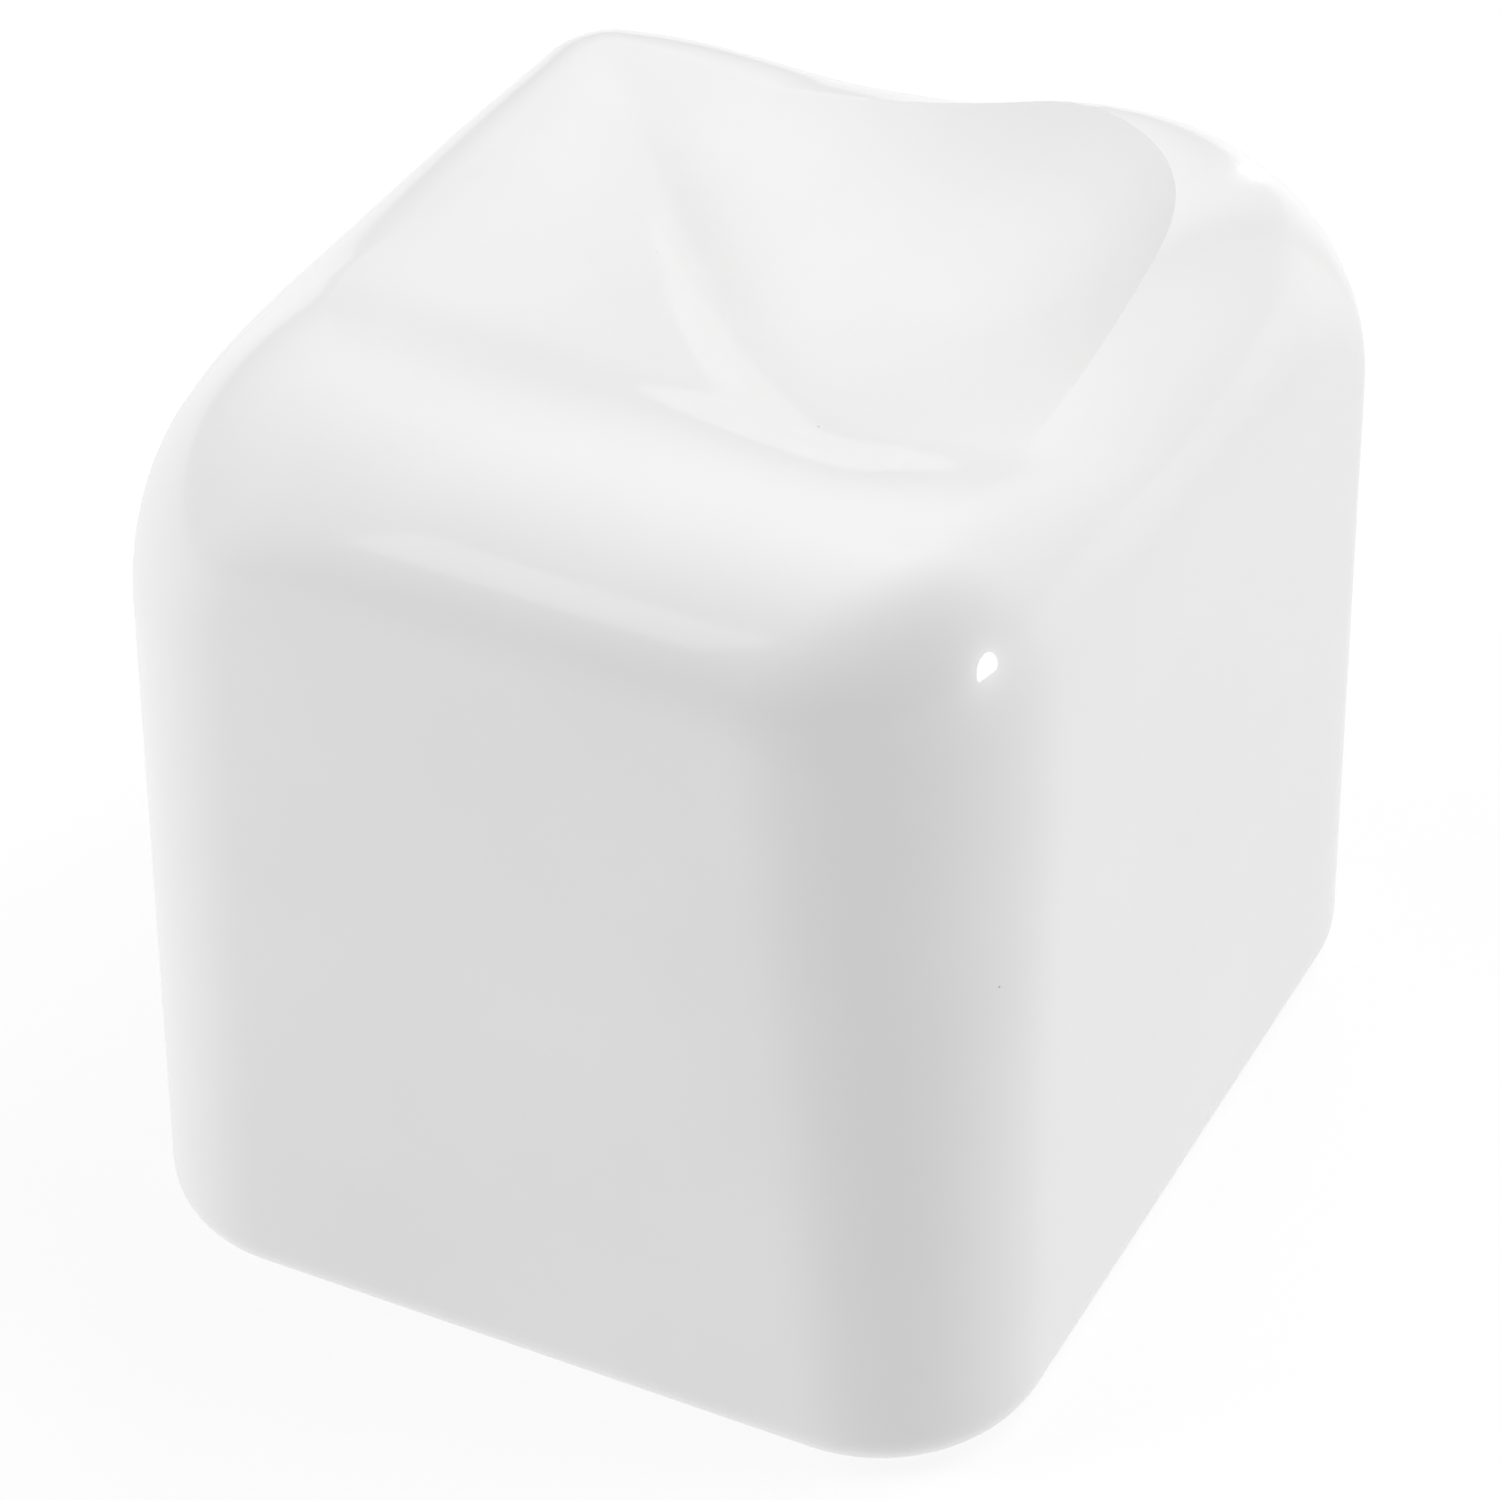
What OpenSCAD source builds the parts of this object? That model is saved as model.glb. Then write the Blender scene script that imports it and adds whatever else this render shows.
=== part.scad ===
// Raised pavement marker: a tall, rounded, gloss white block that is stuck and bolted to a road.
// Origin: centre of the underside, on the road surface. +X is across, +Y is back, +Z is up.

/* [Block] */
// Width of the block at the road, along X
block_w = 100; // [98:1:106]
// Depth of the block at the road, along Y
block_d = 111.4; // [106:0.1:116]
// How far the right wall leans in between the road and the shoulder
right_lean = 1.7; // [-2:0.1:5]
// How far the back wall leans in
back_lean = 4.5; // [-2:0.1:5]
// How far the left wall leans in
left_lean = 1.2; // [-2:0.1:5]
// How far the front wall leans in
front_lean = 2.1; // [-2:0.1:5]
// Radius of the upright edges at the road
upright_r = 17.9; // [15:0.1:20]
// Radius of the edge where the walls meet the road
foot_r = 5.6; // [2:0.1:7]

/* [Shoulder] */
// Height at which the walls turn into the shoulder, in the middle of each side
shoulder_z = 88.3; // [85:0.1:90]
// Width of the right shoulder, measured in from the wall
right_shoulder_w = 11; // [9:0.1:13]
// Width of the back shoulder
back_shoulder_w = 12.3; // [10:0.1:14]
// Width of the left shoulder
left_shoulder_w = 11; // [9:0.1:13]
// Width of the front shoulder, which is the broad one
front_shoulder_w = 16.4; // [14:0.1:18]
// How full the shoulder's curve is: 2 is a quarter of an ellipse
shoulder_curve = 1.85; // [1.7:0.05:2.1]
// How far the shoulder starts lower at the right back corner
right_back_drop = 21; // [0:0.1:26]
// How far the shoulder starts lower at the left back corner
left_back_drop = 12; // [0:0.1:26]
// How far the shoulder starts lower at the left front corner
left_front_drop = 35; // [0:0.1:36]
// How far the shoulder starts lower at the right front corner
right_front_drop = 21.4; // [0:0.1:26]

/* [Top] */
// Height of the field's right back corner
right_back_z = 112.3; // [109:0.1:115]
// Height of the field's left back corner, which is the low one
left_back_z = 98.8; // [96:0.1:102]
// Height of the field's left front corner
left_front_z = 103.4; // [100:0.1:106]
// Height of the field's right front corner
right_front_z = 101.2; // [98:0.1:104]
// How far the middle of the right edge sags. Less than 0 is a rise, here and below.
right_sag = 6.1; // [-5:0.1:4]
// How far the middle of the back edge sags
back_sag = 5.8; // [-5:0.1:4]
// How far the middle of the left edge sags
left_sag = 3.2; // [-5:0.1:4]
// How far the middle of the front edge sags
front_sag = 0.2; // [-5:0.1:4]
// Depth of the dish in the field, deepest towards the right back corner
dish = 6; // [3:0.1:7]

/* [Shell] */
// Thickness of the side walls at the road
wall = 8; // [7:0.5:9]
// Height of the cavity's roof
roof_z = 82; // [76:0.5:83]
// Thickness of the rim round the base plate
rim = 4.5; // [3:0.5:5]
// Radius of the cavity's upright corners
cavity_r = 18; // [17:1:20]
// Distance of each screw from the centre lines
screw_xy = 33; // [30:1:34]
// Radius of the screw bosses
boss_r = 7; // [6:0.5:8]
// Height of the screw bosses
boss_h = 28; // [20:1:34]

/* [Base] */
// Thickness of the adhesive pad
pad_t = 3; // [2:0.5:4]
// Thickness of the base plate at its edge
plate_t = 8; // [7:0.5:10]
// Thickness of the rubber gasket
gasket_t = 2; // [1.5:0.5:3]
// Width of the gasket
gasket_w = 7.5; // [6:0.5:8]
// Depth of the keying grooves under the plate
groove_t = 1; // [0.5:0.1:1.5]

/* [Anchor] */
// Radius of the M12 thread's core, in the socket
thread_core_r = 5.1; // [4.2:0.1:5.3]
// Radius of the tie rod
rod_r = 5.9; // [5.5:0.1:6]
// Radius of the socket's barrel
barrel_r = 10; // [9:0.5:11]
// Radius of the socket's flange
flange_r = 20; // [18:1:22]
// Thickness of the socket's flange
flange_t = 5; // [4:0.5:6]

/* [Hidden] */
$fn = 64;

// Running past a face, so that a cut comes out cleanly
past = 1;
// Gap round a part that is dropped or pressed into another
gap = 0.3;

// Heights of the layers, from the road up
plate_z = pad_t;
gasket_z = plate_z + plate_t;
ledge_z = gasket_z + gasket_t;
cushion_t = 2;
core_top_z = roof_z - cushion_t - gap;

// Radii of the block's corners at the shoulder, and of the field's corners, in the order that ring() turns:
// right back, left back, left front, right front. The field is sharp where its crease runs out.
shoulder_radii = [6, 9.3, 19.9, 22.8];
field_radii = [23.6, 2, 28, 2];

// Share of the field over which a sag sets in
ease_span = 0.6;

// Half sizes of the shell's spaces
cavity_x = block_w / 2 - wall;
cavity_y = block_d / 2 - wall;
pocket_x = block_w / 2 - rim;
pocket_y = block_d / 2 - rim;
pocket_r = upright_r - rim;
gasket_in_r = pocket_r - gasket_w;

// Steps round one side, round one corner, up the foot, over the shoulder and in across the field
side_steps = 8;
arc_steps = 6;
foot_steps = 3;
shoulder_steps = 8;
field_steps = 8;

// Fasteners
insert_r = 3.5;
insert_l = 12;
insert_bore_r = 2.5;
screw_r = 2.4;
screw_hole_r = 2.75;
screw_head_r = 4.8;
screw_head_t = 2.8;
screw_sunk = 0.4;
screw_key_r = 1.9;
nut_across_corners = 21.9;
nut_t = 10;
washer_r = 15;
washer_t = 2.5;
nut_well_r = 17;
nut_well_t = 19;
rod_end_gap = 0.5;

// One ring of points round a rounded rectangle that has a radius for each corner. It starts on the +X side,
// and each side is cut into steps.
function ring(x, y, radii, steps = side_steps) = [
    for (k = [0 : 3])
        let (
            turn = 90 * k,
            ax = k % 2 == 0 ? x : y,
            ay = k % 2 == 0 ? y : x,
            r = radii[k],
            before = radii[(k + 3) % 4],
            from = before - ay,
            to = ay - r
        )
        each [
            for (i = [0 : steps - 1])
                spin([ax, from + (to - from) * i / steps], turn),
            for (i = [0 : arc_steps - 1])
                spin([ax - r + r * cos(90 * i / arc_steps), ay - r + r * sin(90 * i / arc_steps)], turn)
        ]
];

// A plan point turned about the origin
function spin(p, a) = [p.x * cos(a) - p.y * sin(a), p.x * sin(a) + p.y * cos(a)];

// The same radius at all four corners
function even(r) = [r, r, r, r];

// Half sizes and middles of the shell at the shoulder, and of the dished field inside it
high_half = [block_w - left_lean - right_lean, block_d - front_lean - back_lean] / 2;
high_mid = [left_lean - right_lean, front_lean - back_lean] / 2;
field_half = high_half - [left_shoulder_w + right_shoulder_w, front_shoulder_w + back_shoulder_w] / 2;
field_mid = high_mid + [left_shoulder_w - right_shoulder_w, front_shoulder_w - back_shoulder_w] / 2;

// How far across the shell or the field a point is, each way, from -1 to 1
function share(p, half) = [p.x / half.x, p.y / half.y];

// One of four values, by the quarter that a point is in
function by_corner(p, right_back, left_back, left_front, right_front) =
    p.x > 0 ? (p.y > 0 ? right_back : right_front) : (p.y > 0 ? left_back : left_front);

// Height at which the shoulder starts, for a place on the shell's outline
function start_z(s) =
    shoulder_z - by_corner(s, right_back_drop, left_back_drop, left_front_drop, right_front_drop)
        * pow(abs(s.x * s.y), 4);

// A smooth rise from 0 at 0 to 1 at ease_span, so that the field leaves the left and front shoulders level
function ease(t) = let (s = min(1, max(0, t / ease_span))) s * s * (3 - 2 * s);

// How much a sag of one edge tells at a place on the field: across is the share along that edge, and towards
// is the share in its direction
function sag_share(across, towards) =
    (1 - across * across) * ease(1 + across) * pow(max(0, 1 + towards) / 2, 1.5);

// Profile of the dish: level with the field at -1, and falling away from a crisp rim at 1
function dip(t) = 27 / 32 * (1 - t) * pow(1 + t, 2);

// Height of the field at a place on it: a sheet warped through its four corners, with curved edges, less
// the dish
function top_z(s) =
    let (
        u = s.x,
        v = s.y,
        corners = (right_back_z * (1 + u) * (1 + v) + left_back_z * (1 - u) * (1 + v)
            + left_front_z * (1 - u) * (1 - v) + right_front_z * (1 + u) * (1 - v)) / 4
    )
    corners - right_sag * sag_share(v, u) - back_sag * sag_share(u, v)
        - left_sag * sag_share(v, -u) - front_sag * sag_share(u, -v) - dish * dip(u) * dip(v);

// The rings that make up the shell's outside, each a list of points with their heights
function foot_ring(i) =
    let (a = 90 * i / foot_steps, inset = foot_r * (1 - sin(a)))
    [for (p = ring(block_w / 2 - inset, block_d / 2 - inset, even(upright_r - inset)))
        [p.x, p.y, foot_r * (1 - cos(a))]];

function shoulder_ring(i) =
    let (
        a = 90 * i / shoulder_steps,
        inward = 1 - pow(cos(a), 2 / shoulder_curve),
        upward = pow(sin(a), 2 / shoulder_curve),
        low = ring(high_half.x, high_half.y, shoulder_radii),
        high = ring(field_half.x, field_half.y, field_radii)
    )
    [for (k = [0 : len(low) - 1])
        let (
            from = low[k] + high_mid,
            p = from + (high[k] + field_mid - from) * inward,
            from_z = start_z(share(low[k], high_half)),
            z = from_z + (top_z(share(high[k], field_half)) - from_z) * upward
        )
        [p.x, p.y, z]];

function field_ring(i) =
    let (s = 1 - i / field_steps)
    [for (p = ring(field_half.x, field_half.y, field_radii))
        [p.x * s + field_mid.x, p.y * s + field_mid.y, top_z(share(p * s, field_half))]];

shell_rings = [
    for (i = [0 : foot_steps]) foot_ring(i),
    for (i = [0 : shoulder_steps]) shoulder_ring(i),
    for (i = [1 : field_steps - 1]) field_ring(i)
];

// A closed skin over a stack of rings, drawn to a point at each end
module skin(rings, foot, tip) {
    n = len(rings[0]);
    last = len(rings) - 1;
    points = [for (r = rings) each r, foot, tip];
    foot_i = n * (last + 1);
    tip_i = foot_i + 1;
    sides = [
        for (j = [0 : last - 1])
            for (i = [0 : n - 1])
                let (a = j * n + i, b = j * n + (i + 1) % n)
                each [[a, a + n, b], [b, a + n, b + n]]
    ];
    underside = [for (i = [0 : n - 1]) [i, (i + 1) % n, foot_i]];
    crown = [for (i = [0 : n - 1]) [last * n + i, tip_i, last * n + (i + 1) % n]];
    polyhedron(points = points, faces = concat(underside, sides, crown), convexity = 6);
}

// An upright block with rounded corners, from z0 to z1
module slab(x, y, r, z0, z1) {
    translate([0, 0, z0])
        linear_extrude(height = z1 - z0)
            polygon(ring(x, y, even(r), 1));
}

// An upright round bar, from z0 to z1
module bar(r, z0, z1) {
    translate([0, 0, z0])
        cylinder(r = r, h = z1 - z0);
}

// Its children at each of the four screw positions
module at_screws() {
    for (sx = [-1, 1])
        for (sy = [-1, 1])
            translate([sx * screw_xy, sy * screw_xy, 0])
                children();
}

// The screw bosses, each tied to the two nearest walls by a rib
module bosses() {
    rib_t = 4;
    to_wall_x = cavity_x - screw_xy + past;
    to_wall_y = cavity_y - screw_xy + past;
    for (sx = [-1, 1])
        for (sy = [-1, 1])
            translate([sx * screw_xy, sy * screw_xy, 0]) {
                bar(boss_r, ledge_z, ledge_z + boss_h);
                translate([sx * to_wall_x / 2, 0, ledge_z + boss_h / 2])
                    cube([to_wall_x, rib_t, boss_h], center = true);
                translate([0, sy * to_wall_y / 2, ledge_z + boss_h / 2])
                    cube([rib_t, to_wall_y, boss_h], center = true);
            }
}

// Moulded shell: leaning walls, rounded shoulders and a dished top with one low corner
module head_shell() {
    color("white")
        difference() {
            skin(shell_rings, [0, 0, 0], [field_mid.x, field_mid.y, top_z([0, 0])]);
            hollow();
        }
}

// The space inside the shell: a pocket for the plate, the cavity round the bosses, and the bosses' bores
module hollow() {
    slab(pocket_x, pocket_y, pocket_r, -past, ledge_z);
    difference() {
        slab(cavity_x, cavity_y, cavity_r, ledge_z - past, roof_z);
        bosses();
    }
    at_screws()
        bar(insert_r, ledge_z - past, ledge_z + insert_l + 2);
}

// Precast filler: it has rebates round the bosses, a bore for the tie rod and a well for its nut
module core_block() {
    rebate_x = cavity_x - screw_xy + boss_r + gap;
    rebate_y = cavity_y - screw_xy + boss_r + gap;
    color("silver")
        difference() {
            slab(cavity_x - gap, cavity_y - gap, cavity_r - gap, ledge_z, core_top_z);
            for (sx = [-1, 1])
                for (sy = [-1, 1])
                    translate([sx * cavity_x, sy * cavity_y, ledge_z])
                        cube([2 * rebate_x, 2 * rebate_y, 2 * (boss_h + gap)], center = true);
            bar(flange_r + gap, ledge_z - past, gasket_z + flange_t);
            bar(barrel_r + gap, ledge_z - past, gasket_z + flange_t + 2 * barrel_r);
            bar(rod_r + gap, ledge_z - past, core_top_z + past);
            bar(nut_well_r, core_top_z - nut_well_t, core_top_z + past);
        }
}

// Elastomer sheet between the core and the shell's roof
module roof_cushion() {
    color("dimgray")
        difference() {
            slab(cavity_x - wall, cavity_y - wall, cavity_r, core_top_z, core_top_z + cushion_t);
            bar(nut_well_r, core_top_z - past, core_top_z + cushion_t + past);
        }
}

// Plate that closes the underside, with a raised step inside the gasket and grooves that key the pad
module base_plate() {
    step_x = pocket_x - gasket_w - 2 * gap;
    step_y = pocket_y - gasket_w - 2 * gap;
    groove_w = 3;
    groove_pitch = 12;
    color("gainsboro")
        difference() {
            union() {
                slab(pocket_x - gap, pocket_y - gap, pocket_r - gap, plate_z, gasket_z);
                slab(step_x, step_y, gasket_in_r, gasket_z - past, ledge_z);
            }
            bar(barrel_r + gap, plate_z - past, gasket_z + past);
            bar(flange_r + gap, gasket_z, ledge_z + past);
            at_screws() {
                bar(screw_hole_r, plate_z - past, ledge_z + past);
                bar(screw_head_r + gap, plate_z - past, plate_z + screw_sunk);
                translate([0, 0, plate_z + screw_sunk])
                    cylinder(r1 = screw_head_r + gap, r2 = screw_hole_r, h = screw_head_t);
            }
            for (s = [-1, 1])
                for (k = [1.5 : 1 : 2.5]) {
                    translate([s * k * groove_pitch - s * groove_pitch / 4, 0, plate_z])
                        cube([groove_w, 2 * screw_xy - 4 * screw_head_r, 2 * groove_t], center = true);
                    translate([0, s * k * groove_pitch - s * groove_pitch / 4, plate_z])
                        cube([2 * screw_xy - 4 * screw_head_r, groove_w, 2 * groove_t], center = true);
                }
        }
}

// Flat rubber ring between the plate and the shell's ledge
module base_gasket() {
    in_x = pocket_x - gasket_w - gap;
    in_y = pocket_y - gasket_w - gap;
    color("black")
        difference() {
            slab(pocket_x - gap, pocket_y - gap, pocket_r - gap, gasket_z, ledge_z);
            slab(in_x, in_y, gasket_in_r, gasket_z - past, ledge_z + past);
        }
}

// Threaded brass inserts, pressed into the bosses
module boss_inserts() {
    color("goldenrod")
        at_screws()
            difference() {
                bar(insert_r, ledge_z, ledge_z + insert_l);
                bar(insert_bore_r, ledge_z - past, ledge_z + insert_l + past);
            }
}

// Countersunk screws with a six-sided key recess
module base_screws() {
    head_z = plate_z + screw_sunk;
    color("silver")
        at_screws()
            difference() {
                union() {
                    translate([0, 0, head_z])
                        cylinder(r1 = screw_head_r, r2 = screw_r, h = screw_head_t);
                    bar(screw_r, head_z + screw_head_t / 2, ledge_z + insert_l - 1);
                }
                translate([0, 0, head_z - past])
                    cylinder(r = screw_key_r, h = past + 2, $fn = 6);
            }
}

// Steel socket: its lower thread takes the stud that is set in the road, its upper one the tie rod
module anchor_socket() {
    top = gasket_z + flange_t + 2 * barrel_r - past;
    color("silver")
        difference() {
            union() {
                bar(barrel_r, plate_z, top);
                bar(flange_r, gasket_z, gasket_z + flange_t);
            }
            bar(thread_core_r, plate_z - past, top + past);
            bar(rod_r + gap / 10, gasket_z + flange_t, top + past);
        }
}

// Rod that ties the core down to the socket
module tie_rod() {
    bottom = gasket_z + flange_t + rod_end_gap;
    top = core_top_z - nut_well_t + washer_t + nut_t + 3;
    color("silver") {
        translate([0, 0, bottom])
            cylinder(r1 = rod_r - 1, r2 = rod_r, h = 1);
        bar(rod_r, bottom + 1, top - 1);
        translate([0, 0, top - 1])
            cylinder(r1 = rod_r, r2 = rod_r - 1, h = 1);
    }
}

// Washer that spreads the nut's load on the core
module tie_rod_washer() {
    z = core_top_z - nut_well_t;
    color("silver")
        difference() {
            bar(washer_r, z, z + washer_t);
            bar(rod_r + gap, z - past, z + washer_t + past);
        }
}

// Hexagon nut on the tie rod
module tie_rod_nut() {
    z = core_top_z - nut_well_t + washer_t;
    color("silver")
        difference() {
            translate([0, 0, z])
                cylinder(r = nut_across_corners / 2, h = nut_t, $fn = 6);
            bar(rod_r + gap / 10, z - past, z + nut_t + past);
        }
}

// Adhesive pad that sticks the marker to the road, flush with the shell's rim
module butyl_pad() {
    color("dimgray")
        difference() {
            slab(pocket_x - gap, pocket_y - gap, pocket_r - gap, 0, pad_t);
            bar(barrel_r + 2, -past, pad_t + past);
        }
}

head_shell();
core_block();
roof_cushion();
base_plate();
base_gasket();
boss_inserts();
base_screws();
anchor_socket();
tie_rod();
tie_rod_washer();
tie_rod_nut();
butyl_pad();
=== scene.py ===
"""Looks of a tall block pavement marker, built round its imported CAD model.

Metres, +Z up, origin at the centre of the underside, on the road.
"""
import math

import bpy
import numpy as np
from mathutils import Matrix, Vector


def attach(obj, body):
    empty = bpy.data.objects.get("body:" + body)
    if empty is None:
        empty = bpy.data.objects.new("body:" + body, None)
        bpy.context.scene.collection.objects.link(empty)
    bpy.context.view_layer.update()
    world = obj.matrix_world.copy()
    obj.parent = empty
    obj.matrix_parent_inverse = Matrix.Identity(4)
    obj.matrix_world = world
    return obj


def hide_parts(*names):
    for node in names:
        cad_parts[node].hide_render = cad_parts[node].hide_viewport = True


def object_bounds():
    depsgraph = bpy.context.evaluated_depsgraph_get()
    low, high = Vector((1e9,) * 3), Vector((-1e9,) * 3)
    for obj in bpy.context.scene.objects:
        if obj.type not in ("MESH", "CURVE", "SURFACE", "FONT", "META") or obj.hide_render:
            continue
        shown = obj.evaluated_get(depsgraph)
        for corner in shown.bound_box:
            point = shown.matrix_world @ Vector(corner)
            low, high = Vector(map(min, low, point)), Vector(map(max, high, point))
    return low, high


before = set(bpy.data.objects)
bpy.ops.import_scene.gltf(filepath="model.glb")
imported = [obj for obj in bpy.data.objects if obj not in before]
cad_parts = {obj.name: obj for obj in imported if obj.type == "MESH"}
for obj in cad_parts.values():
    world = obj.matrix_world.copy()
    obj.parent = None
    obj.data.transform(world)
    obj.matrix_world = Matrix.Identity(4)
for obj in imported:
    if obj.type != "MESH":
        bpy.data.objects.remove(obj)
cad_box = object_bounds()

MM = 0.001

# ---- The block's shape, in metres, as the CAD source has it. Sides run: right, back, left, front.
# ---- Corners run: right back, left back, left front, right front.
# ---- The first corner's height is a hair under the CAD's, so that the smooth shell stays inside its box.
BLOCK_W = 100 * MM
BLOCK_D = 111.4 * MM
UPRIGHT_R = 17.9 * MM
FOOT_R = 5.6 * MM
SHOULDER_Z = 88.3 * MM
LEAN = [1.7 * MM, 4.5 * MM, 1.2 * MM, 2.1 * MM]
SHOULDER_R = [6 * MM, 9.3 * MM, 19.9 * MM, 22.8 * MM]
CORNER_DROP = [21 * MM, 12 * MM, 35 * MM, 21.4 * MM]
SHOULDER_W = [11 * MM, 12.3 * MM, 11 * MM, 16.4 * MM]
SHOULDER_CURVE = 1.85
FIELD_R = [23.6 * MM, 2 * MM, 28 * MM, 2 * MM]
CORNER_Z = [112.28 * MM, 98.8 * MM, 103.4 * MM, 101.2 * MM]
EDGE_SAG = [6.1 * MM, 5.8 * MM, 3.2 * MM, 0.2 * MM]
DISH = 6 * MM
DROP_POWER = 4
SAG_POWER = 1.5
EASE_SPAN = 0.6
DIP_SCALE = 27 / 32

# The soft gutter from the left back corner to the right front one, which the CAD's coarse facets leave out
GUTTER = 4 * MM
GUTTER_SPREAD = 0.1
GUTTER_ROUND = 0.04
GUTTER_END = 0.8

# The shell's inside, as the CAD source has it
WALL = 8 * MM
RIM = 4.5 * MM
ROOF_Z = 82 * MM
CAVITY_R = 18 * MM
LEDGE_Z = 13 * MM
SCREW_XY = 33 * MM
BOSS_R = 7 * MM
BOSS_H = 28 * MM
RIB_T = 4 * MM
INSERT_R = 3.5 * MM
INSERT_BORE_H = 14 * MM

# How finely the smooth shell is cut
SIDE_STEPS = 40
ARC_STEPS = 16
FOOT_STEPS = 8
WALL_STEPS = 12
SHOULDER_STEPS = 28
FIELD_STEPS = 44
RIM_RING = 0.99
FIELD_RINGS = [RIM_RING, *np.linspace(1, 0, FIELD_STEPS, endpoint=False)[1:]]


def ring(low, high, radii, side_steps=SIDE_STEPS, arc_steps=ARC_STEPS):
    """Points round the rounded rectangle from low to high, starting on the +X side.

    Each corner has its own radius. Also gives how far across the rectangle each point is, from -1 to 1.
    """
    middle, half = (low + high) / 2, (high - low) / 2
    points = []
    for k in range(4):
        r, before = radii[k], radii[k - 1]
        ax, ay = half if k % 2 == 0 else half[::-1]
        side = np.linspace(before - ay, ay - r, side_steps, endpoint=False)
        turn = np.linspace(0, math.pi / 2, arc_steps, endpoint=False)
        local = np.vstack([
            np.column_stack([np.full(side_steps, ax), side]),
            np.column_stack([ax - r + r * np.cos(turn), ay - r + r * np.sin(turn)]),
        ])
        a = math.pi / 2 * k
        spin = np.array([[math.cos(a), math.sin(a)], [-math.sin(a), math.cos(a)]])
        points.append(local @ spin)
    points = np.vstack(points)
    return points + middle, points / half


def ease(t):
    """Rises smoothly from 0 at 0 to 1 at EASE_SPAN."""
    t = np.clip(t / EASE_SPAN, 0, 1)
    return t * t * (3 - 2 * t)


def top_z(u, v):
    """Height of the dished field. u and v run from -1 to 1 across it."""
    right_back, left_back, left_front, right_front = CORNER_Z
    z = (right_back * (1 + u) * (1 + v) + left_back * (1 - u) * (1 + v)
         + left_front * (1 - u) * (1 - v) + right_front * (1 + u) * (1 - v)) / 4
    across_x, across_y = ((1 - t * t) * ease(1 + t) for t in (u, v))
    for sag, across, towards in zip(EDGE_SAG, (across_y, across_x) * 2, (u, v, -u, -v)):
        z = z - sag * across * np.clip((1 + towards) / 2, 0, 1) ** SAG_POWER
    dip_x, dip_y = (DIP_SCALE * (1 - t) * (1 + t) ** 2 for t in (u, v))
    off, along = (u + v) / 2, (u - v) / 2
    soft = np.sqrt(off ** 2 + GUTTER_ROUND ** 2) - GUTTER_ROUND
    fade = np.clip(2 + 2 * along, 0, 1) * np.clip(GUTTER_END - along, 0, 1)
    return z - DISH * dip_x * dip_y - GUTTER * np.exp(-soft / GUTTER_SPREAD) * fade


def shell_rings():
    """The rings of the shell's outside, from its foot up to the middle of the field."""
    base = np.array([BLOCK_W, BLOCK_D]) / 2
    right, back, left, front = LEAN
    low, high = np.array([left, front]) - base, base - np.array([right, back])
    shoulder, across = ring(low, high, SHOULDER_R)
    drop_r, drop_b, drop_l, drop_f = CORNER_DROP
    u, v = across.T
    drop = np.where(u > 0, np.where(v > 0, drop_r, drop_f), np.where(v > 0, drop_b, drop_l))
    shoulder_z = SHOULDER_Z - drop * np.abs(u * v) ** DROP_POWER
    right, back, left, front = SHOULDER_W
    field, across = ring(low + [left, front], high - [right, back], FIELD_R)
    rim_z = top_z(*across.T)
    rings = []
    for a in np.linspace(0, math.pi / 2, FOOT_STEPS + 1):
        inset, z = FOOT_R * (1 - math.sin(a)), FOOT_R * (1 - math.cos(a))
        p, _ = ring(inset - base, base - inset, [UPRIGHT_R - inset] * 4)
        rings.append(np.column_stack([p, np.full(len(p), z)]))
    foot, _ = ring(-base, base, [UPRIGHT_R] * 4)
    for s in np.linspace(0, 1, WALL_STEPS + 1)[1:]:
        rings.append(np.column_stack([foot + (shoulder - foot) * s, FOOT_R + (shoulder_z - FOOT_R) * s]))
    for a in np.linspace(0, math.pi / 2, SHOULDER_STEPS + 1)[1:]:
        inward = 1 - max(math.cos(a), 0) ** (2 / SHOULDER_CURVE)
        upward = math.sin(a) ** (2 / SHOULDER_CURVE)
        p = shoulder + (field - shoulder) * inward
        rings.append(np.column_stack([p, shoulder_z + (rim_z - shoulder_z) * upward]))
    centre = (field.min(axis=0) + field.max(axis=0)) / 2
    for s in FIELD_RINGS:
        rings.append(np.column_stack([centre + (field - centre) * s, top_z(*(across * s).T)]))
    return rings, [*centre, top_z(0.0, 0.0)]


def stack_mesh(name, rings, foot, tip):
    """A closed mesh over a stack of rings, drawn to a point at each end."""
    n = len(rings[0])
    last = len(rings) - 1
    points = np.vstack(rings + [foot, tip])
    foot_i, tip_i = len(points) - 2, len(points) - 1
    faces = []
    for i in range(n):
        k = (i + 1) % n
        faces.append((k, i, foot_i))
        faces.append((last * n + i, last * n + k, tip_i))
        for j in range(last):
            faces.append((j * n + i, j * n + k, j * n + n + k, j * n + n + i))
    mesh = bpy.data.meshes.new(name)
    mesh.from_pydata(points.tolist(), [], faces)
    mesh.update()
    made = bpy.data.objects.new(name, mesh)
    bpy.context.scene.collection.objects.link(made)
    return made


def slab(name, x, y, r, z0, z1):
    """An upright block with rounded corners."""
    half = np.array([x, y])
    flat, _ = ring(-half, half, [r] * 4, side_steps=1)
    rings = [np.column_stack([flat, np.full(len(flat), z)]) for z in (z0, z1)]
    return stack_mesh(name, rings, [[0, 0, z0]], [[0, 0, z1]])


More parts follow.
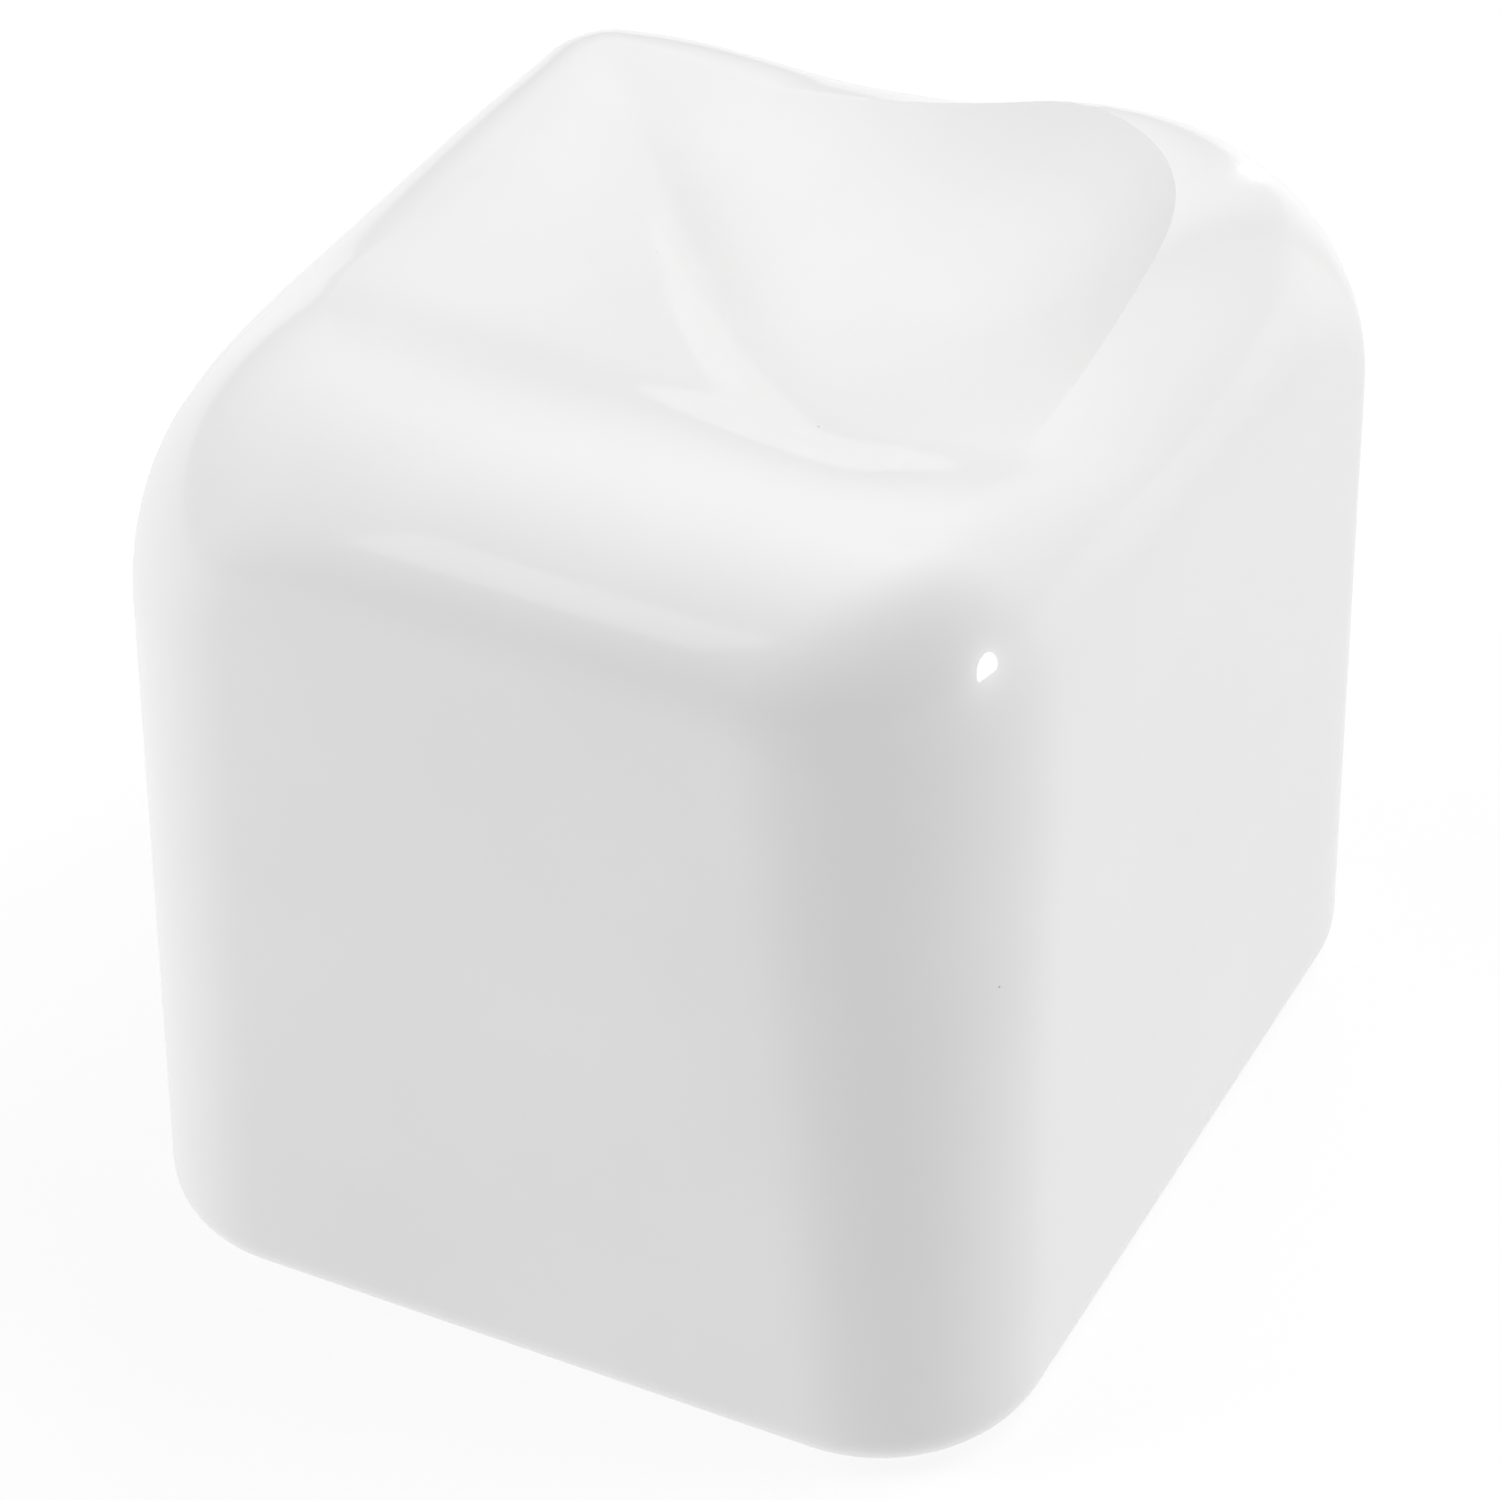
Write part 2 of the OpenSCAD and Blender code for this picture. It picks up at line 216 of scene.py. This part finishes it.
def bar(name, x, y, r, z0, z1, sides=48):
    """An upright round bar."""
    turn = np.linspace(0, 2 * math.pi, sides, endpoint=False)
    flat = np.column_stack([x + r * np.cos(turn), y + r * np.sin(turn)])
    rings = [np.column_stack([flat, np.full(sides, z)]) for z in (z0, z1)]
    return stack_mesh(name, rings, [[x, y, z0]], [[x, y, z1]])


def brick(name, low, high):
    """A plain cutter with six faces."""
    corners = [(x, y, z) for z in (low[2], high[2]) for x, y in
               ((low[0], low[1]), (high[0], low[1]), (high[0], high[1]), (low[0], high[1]))]
    faces = [(3, 2, 1, 0), (4, 5, 6, 7), (0, 1, 5, 4), (1, 2, 6, 5), (2, 3, 7, 6), (3, 0, 4, 7)]
    mesh = bpy.data.meshes.new(name)
    mesh.from_pydata(corners, [], faces)
    made = bpy.data.objects.new(name, mesh)
    bpy.context.scene.collection.objects.link(made)
    return made


def apply_boolean(target, tool, operation):
    """Joins or cuts target with tool, and deletes tool."""
    step = target.modifiers.new("step", "BOOLEAN")
    step.operation = operation
    step.solver = "EXACT"
    step.object = tool
    graph = bpy.context.evaluated_depsgraph_get()
    mesh = bpy.data.meshes.new_from_object(target.evaluated_get(graph))
    target.modifiers.clear()
    target.data = mesh
    bpy.data.objects.remove(tool)


def build_shell():
    """The moulded shell: smooth outside, with the pocket, cavity and bosses of the CAD source inside."""
    rings, tip = shell_rings()
    shell = stack_mesh("shell_moulding", rings, [[0, 0, 0]], [tip])
    below = 1 * MM
    cavity = slab("cavity", BLOCK_W / 2 - WALL, BLOCK_D / 2 - WALL, CAVITY_R, LEDGE_Z - below, ROOF_Z)
    for sx in (-1, 1):
        for sy in (-1, 1):
            x, y = sx * SCREW_XY, sy * SCREW_XY
            top = LEDGE_Z + BOSS_H
            reach_x = sx * (BLOCK_W / 2 - WALL - SCREW_XY + below)
            reach_y = sy * (BLOCK_D / 2 - WALL - SCREW_XY + below)
            half = RIB_T / 2
            ribs = (
                (sorted((x, x + reach_x)), (y - half, y + half)),
                ((x - half, x + half), sorted((y, y + reach_y))),
            )
            apply_boolean(cavity, bar("boss", x, y, BOSS_R, LEDGE_Z, top), "DIFFERENCE")
            for (x0, x1), (y0, y1) in ribs:
                apply_boolean(cavity, brick("rib", (x0, y0, LEDGE_Z), (x1, y1, top)), "DIFFERENCE")
    pocket_r = UPRIGHT_R - RIM
    apply_boolean(shell, cavity, "DIFFERENCE")
    pocket = slab("pocket", BLOCK_W / 2 - RIM, BLOCK_D / 2 - RIM, pocket_r, -below, LEDGE_Z)
    apply_boolean(shell, pocket, "DIFFERENCE")
    for sx in (-1, 1):
        for sy in (-1, 1):
            bore_top = LEDGE_Z + INSERT_BORE_H
            bore = bar("bore", sx * SCREW_XY, sy * SCREW_XY, INSERT_R, LEDGE_Z - below, bore_top)
            apply_boolean(shell, bore, "DIFFERENCE")
    for face in shell.data.polygons:
        face.use_smooth = True
    shell.data.set_sharp_from_angle(angle=math.radians(35))
    return shell


# ---------------------------------------------------------------- materials


class Surface:
    """A node material with a Principled shader, and short calls that add procedural detail to it."""

    def __init__(self, name, roughness, metallic=0.0):
        self.material = bpy.data.materials.new(name)
        self.material.use_nodes = True
        self.tree = self.material.node_tree
        self.shader = self.tree.nodes["Principled BSDF"]
        self.shader.inputs["Roughness"].default_value = roughness
        self.shader.inputs["Metallic"].default_value = metallic
        self.place = self.tree.nodes.new("ShaderNodeTexCoord").outputs["Object"]
        self.normal = None

    def link(self, a, b):
        self.tree.links.new(a, b)

    def noise(self, size, detail=3.0, stretch=None):
        """Cloudy noise whose lumps are about size metres across."""
        node = self.tree.nodes.new("ShaderNodeTexNoise")
        node.inputs["Scale"].default_value = 1 / size
        node.inputs["Detail"].default_value = detail
        place = self.place
        if stretch:
            mapping = self.tree.nodes.new("ShaderNodeMapping")
            mapping.inputs["Scale"].default_value = stretch
            self.link(place, mapping.inputs["Vector"])
            place = mapping.outputs["Vector"]
        self.link(place, node.inputs["Vector"])
        return node.outputs["Fac"]

    def cells(self, size):
        """Distance to the nearest of scattered points about size metres apart."""
        node = self.tree.nodes.new("ShaderNodeTexVoronoi")
        node.inputs["Scale"].default_value = 1 / size
        self.link(self.place, node.inputs["Vector"])
        return node.outputs["Distance"]

    def span(self, value, low, high, start=0.3, end=0.7):
        """Maps value from start..end to low..high."""
        node = self.tree.nodes.new("ShaderNodeMapRange")
        for key, number in (("From Min", start), ("From Max", end), ("To Min", low), ("To Max", high)):
            node.inputs[key].default_value = number
        self.link(value, node.inputs["Value"])
        return node.outputs["Result"]

    def mix(self, factor, a, b):
        """A colour between a and b. Each is a colour or a socket."""
        node = self.tree.nodes.new("ShaderNodeMix")
        node.data_type = "RGBA"
        self.link(factor, node.inputs[0])
        for value, socket in ((a, node.inputs[6]), (b, node.inputs[7])):
            if isinstance(value, tuple):
                socket.default_value = (*value, 1)
            else:
                self.link(value, socket)
        return node.outputs[2]

    def colour(self, socket):
        self.link(socket, self.shader.inputs["Base Color"])

    def roughness(self, socket):
        self.link(socket, self.shader.inputs["Roughness"])

    def bump(self, height, depth, strength=1.0):
        """Adds height as relief, depth metres deep."""
        node = self.tree.nodes.new("ShaderNodeBump")
        node.inputs["Strength"].default_value = strength
        node.inputs["Distance"].default_value = depth
        self.link(height, node.inputs["Height"])
        if self.normal:
            self.link(self.normal, node.inputs["Normal"])
        self.normal = node.outputs["Normal"]
        self.link(self.normal, self.shader.inputs["Normal"])


def gloss_white():
    """High-gloss white moulding: faint tone drift, a slight ripple in the gloss and rare pin-prick specks."""
    s = Surface("gloss_white", 0.3)
    tone = s.mix(s.span(s.noise(30 * MM), 0, 1), (0.86, 0.86, 0.857), (0.885, 0.885, 0.882))
    specks = s.span(s.cells(12 * MM), 1, 0, 0.01, 0.014)
    s.colour(s.mix(specks, tone, (0.55, 0.54, 0.52)))
    s.roughness(s.span(s.noise(15 * MM, 1), 0.28, 0.33, 0, 1))
    s.bump(s.noise(6 * MM, 1), 0.02 * MM, 0.5)
    s.shader.inputs["Specular IOR Level"].default_value = 0.25
    s.shader.inputs["Coat Weight"].default_value = 0.35
    s.shader.inputs["Coat Roughness"].default_value = 0.04
    s.shader.inputs["Coat IOR"].default_value = 1.5
    return s.material


def cast_filler():
    """Cast filler: grey with sand grains, cloudy patches and small air pits."""
    s = Surface("cast_filler", 0.9)
    cloud = s.mix(s.span(s.noise(14 * MM, 5), 0, 1), (0.36, 0.35, 0.33), (0.52, 0.51, 0.48))
    grain = s.span(s.noise(0.9 * MM, 2), 0, 1, 0.45, 0.7)
    s.colour(s.mix(grain, cloud, (0.66, 0.64, 0.6)))
    s.bump(s.noise(0.8 * MM, 3), 0.15 * MM, 0.8)
    s.bump(s.span(s.cells(4 * MM), 0, 1, 0.05, 0.2), 0.4 * MM, 0.9)
    return s.material


def black_rubber(name, tone, size):
    """Dull rubber with a fine skin and paler rubbed patches."""
    s = Surface(name, 0.75)
    rubbed = tuple(min(1.0, c * 2.2 + 0.01) for c in tone)
    s.colour(s.mix(s.span(s.noise(8 * MM, 4), 0, 1, 0.45, 0.8), tone, rubbed))
    s.roughness(s.span(s.noise(2 * MM), 0.6, 0.9))
    s.bump(s.noise(size, 3), 0.12 * MM, 0.7)
    return s.material


def plate_plastic():
    """Satin moulded plastic with a fine eroded texture and faint flow marks."""
    s = Surface("plate_plastic", 0.5)
    flow = s.noise(10 * MM, 2, stretch=(1, 0.2, 1))
    s.colour(s.mix(s.span(flow, 0, 1), (0.72, 0.72, 0.7), (0.8, 0.8, 0.78)))
    s.roughness(s.span(s.noise(3 * MM), 0.42, 0.58))
    s.bump(s.noise(0.6 * MM, 2), 0.05 * MM, 0.6)
    return s.material


def turned_metal(name, tone, stain, rough):
    """Machined metal with fine turning lines and a patchy tarnish."""
    s = Surface(name, rough, metallic=1.0)
    s.colour(s.mix(s.span(s.noise(5 * MM, 4), 0, 1, 0.45, 0.75), tone, stain))
    lines = s.noise(0.5 * MM, 1, stretch=(0.15, 0.15, 1))
    s.roughness(s.span(lines, rough - 0.08, rough + 0.12))
    s.bump(lines, 0.03 * MM, 0.6)
    return s.material


def pale_floor():
    """Plain pale studio floor with a barely visible mottle."""
    s = Surface("pale_floor", 0.9)
    s.colour(s.mix(s.span(s.noise(0.4), 0, 1), (0.19, 0.19, 0.19), (0.21, 0.21, 0.21)))
    s.shader.inputs["Specular IOR Level"].default_value = 0.1
    s.shader.inputs["Emission Color"].default_value = (1, 1, 1, 1)
    s.shader.inputs["Emission Strength"].default_value = 0.8
    return s.material


def dress(node, material):
    """Gives a CAD node its material in every slot, or adds the first slot."""
    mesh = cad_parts[node].data
    mesh.materials.clear()
    mesh.materials.append(material)


shell = build_shell()
shell.data.materials.append(gloss_white())
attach(shell, "root")
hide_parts("head_shell")

elastomer = black_rubber("elastomer", (0.03, 0.03, 0.032), 0.8 * MM)
zinc = turned_metal("zinc_steel", (0.62, 0.63, 0.65), (0.5, 0.49, 0.45), 0.34)
dress("core_block", cast_filler())
dress("roof_cushion", elastomer)
dress("base_plate", plate_plastic())
dress("base_gasket", elastomer)
dress("boss_inserts", turned_metal("insert_brass", (0.78, 0.58, 0.26), (0.55, 0.38, 0.16), 0.3))
for node in ("base_screws", "anchor_socket", "tie_rod", "tie_rod_washer", "tie_rod_nut"):
    dress(node, zinc)
dress("butyl_pad", black_rubber("butyl", (0.016, 0.016, 0.018), 2.5 * MM))

# ---------------------------------------------------------------- floor, light and camera

centre = (cad_box[0] + cad_box[1]) / 2


def direction(azimuth, elevation):
    """Unit vector from the object towards azimuth and elevation, in degrees. Azimuth 0 is -Y, 90 is +X."""
    a, e = math.radians(azimuth), math.radians(elevation)
    return Vector((math.sin(a) * math.cos(e), -math.cos(a) * math.cos(e), math.sin(e)))


def softbox(name, azimuth, elevation, size, power, shape="SQUARE", distance=1.2, shades=True, mirrored=False):
    """An area light that faces the object. It shades the surfaces, is mirrored in the gloss, or both."""
    light = bpy.data.lights.new(name, "AREA")
    light.shape = shape
    light.size = size
    light.energy = power
    lamp = bpy.data.objects.new(name, light)
    towards = direction(azimuth, elevation)
    lamp.location = centre + towards * distance
    lamp.rotation_mode = "QUATERNION"
    lamp.rotation_quaternion = (-towards).to_track_quat("-Z", "Y")
    lamp.visible_diffuse = shades
    lamp.visible_glossy = mirrored
    bpy.context.scene.collection.objects.link(lamp)


FLOOR_SIZE = 6.0
FLOOR_GAP = 0.05 * MM
floor_mesh = bpy.data.meshes.new("floor")
half = FLOOR_SIZE / 2
floor_corners = [(-half, -half, 0), (half, -half, 0), (half, half, 0), (-half, half, 0)]
floor_mesh.from_pydata(floor_corners, [], [(0, 1, 2, 3)])
floor_mesh.materials.append(pale_floor())
floor = bpy.data.objects.new("floor", floor_mesh)
floor.location.z = -FLOOR_GAP
bpy.context.scene.collection.objects.link(floor)

world = bpy.data.worlds.new("studio")
world.use_nodes = True
world.node_tree.nodes["Background"].inputs["Color"].default_value = (1, 1, 1, 1)
world.node_tree.nodes["Background"].inputs["Strength"].default_value = 0.22
bpy.context.scene.world = world
bpy.context.scene.view_settings.view_transform = "Standard"

# Broad lights shade the block without a mirror image. The glints are small lights that only the gloss shows.
softbox("top_box", 0, 90, 1.2, 5.0)
softbox("high_box", 120, 55, 0.8, 5.4)
softbox("left_box", -60, 25, 0.7, 5.6)
softbox("right_box", 130, 20, 0.7, 1.6)
softbox("back_box", 180, 50, 0.8, 2.6)
softbox("front_glint", 89, 0, 0.22, 4, shape="DISK", shades=False, mirrored=True)
softbox("back_glint", 179, 4, 0.11, 0.35, shape="DISK", shades=False, mirrored=True)
softbox("soft_glint", -30, 43, 0.35, 0.8, shades=False, mirrored=True)

# The view: a long lens, high and to the right of the front, with the block filling about two thirds
VIEW_AZIMUTH = 28.31
VIEW_ELEVATION = 37.00
VIEW_ROLL = -2.00
VIEW_DISTANCE = 0.520
BLOCK_SHARE = 0.6420
AIM_Z = 55 * MM
AIM_RIGHT = -0.70 * MM
AIM_UP = -10.40 * MM

camera_data = bpy.data.cameras.new("camera")
camera = bpy.data.objects.new("camera", camera_data)
bpy.context.scene.collection.objects.link(camera)
back = direction(VIEW_AZIMUTH, VIEW_ELEVATION)
turn = (-back).to_track_quat("-Z", "Y").to_matrix() @ Matrix.Rotation(math.radians(VIEW_ROLL), 3, "Z")
aim = Vector((0, 0, AIM_Z)) + turn.col[0] * AIM_RIGHT + turn.col[1] * AIM_UP
camera.rotation_mode = "QUATERNION"
camera.rotation_quaternion = turn.to_quaternion()
camera.location = aim + back * VIEW_DISTANCE
camera_data.sensor_width = 36
camera_data.lens = camera_data.sensor_width * BLOCK_SHARE * VIEW_DISTANCE / BLOCK_W
camera_data.clip_end = 20
bpy.context.scene.camera = camera
